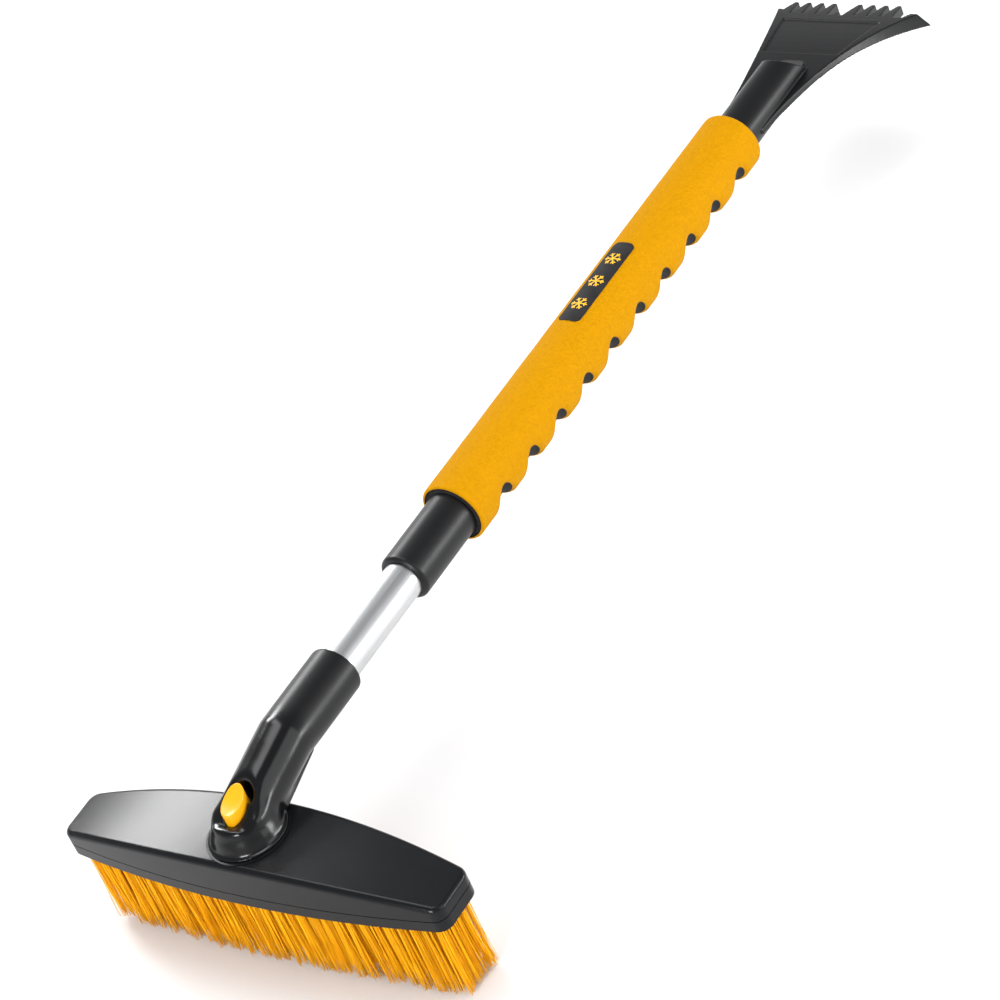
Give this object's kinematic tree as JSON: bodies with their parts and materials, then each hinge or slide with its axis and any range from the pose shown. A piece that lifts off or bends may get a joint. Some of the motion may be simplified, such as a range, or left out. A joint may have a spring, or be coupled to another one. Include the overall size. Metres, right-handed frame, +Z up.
{
  "type": "snow brush scraper",
  "caption": "Snow brush with a swivelling boat-shaped brush head, a telescopic tube with a foam grip and finger grooves, and a toothed ice scraper.",
  "frame": {"origin": "on the plane of the bristle tips, under the brush head's swivel axis", "axes": "+Z up along the swivel axis, away from the bristle tips; +X along the brush head; +Y along the handle towards the scraper"},
  "size_m": [0.242, 0.6977, 0.115],
  "materials": {
    "cover_black": "fine satin grain",
    "gloss_black": "moulded, glossy",
    "bristle_yellow": "stiff nylon filament",
    "zinc_steel": "zinc plated",
    "silver_tube": "drawn, satin",
    "inner_plastic": "plain",
    "yellow_plastic": "glossy",
    "foam_black": "closed-cell foam",
    "foam_yellow": "closed-cell foam, fine grain",
    "badge_black": "printed film"
  },
  "bodies": {
    "head": {"head_cover": "cover_black", "bristle_block": "cover_black", "block_screws": "zinc_steel", "index_ring": "inner_plastic", "bristle_row_1": "bristle_yellow", "bristle_row_2": "bristle_yellow", "bristle_row_3": "bristle_yellow", "bristle_row_4": "bristle_yellow", "bristle_row_5": "bristle_yellow"},
    "arm": {"swivel_arm": "gloss_black", "pivot_washer": "zinc_steel", "pivot_screw": "zinc_steel", "inner_tube": "silver_tube", "socket_rivet": "gloss_black", "lock_plug": "inner_plastic", "lock_washer": "zinc_steel", "lock_screw": "zinc_steel", "button_spring": "zinc_steel", "latch_spring": "zinc_steel"},
    "button": {"release_button": "yellow_plastic"},
    "latch": {"latch_pin": "zinc_steel"},
    "lock": {"expander_sleeve": "inner_plastic"},
    "handle": {"outer_tube": "silver_tube", "tube_collar": "gloss_black", "guide_bush": "inner_plastic", "foam_core": "foam_black", "foam_skin": "foam_yellow", "grip_badge": "badge_black", "scraper_head": "gloss_black", "scraper_rivet": "zinc_steel"}
  },
  "joints": [
    {"name": "head_swivel", "type": "hinge", "parent": "head", "child": "arm", "pos_m": [0, 0, 0.0777], "axis": [0, 0, 1], "continuous": true},
    {"name": "button_press", "type": "slide", "parent": "arm", "child": "button", "axis": [0, 0, -1], "range_m": [0, 0.004], "stiffness_N_per_m": 500, "springref_m": -0.003, "deforming": ["button_spring"]},
    {"name": "latch_lift", "type": "slide", "parent": "arm", "child": "latch", "axis": [0, 0, 1], "range_m": [0, 0.0028], "deforming": ["latch_spring"]},
    {"name": "handle_twist", "type": "hinge", "parent": "arm", "child": "lock", "pos_m": [0, 0, 0.096], "axis": [0, 1, 0], "range_deg": [0, 90]},
    {"name": "telescope", "type": "slide", "parent": "lock", "child": "handle", "axis": [0, 1, 0], "range_m": [-0.055, 0.145]}
  ],
  "couplings": [
    {"joint": "latch_lift", "follows": "button_press", "ratio": 0.7}
  ]
}
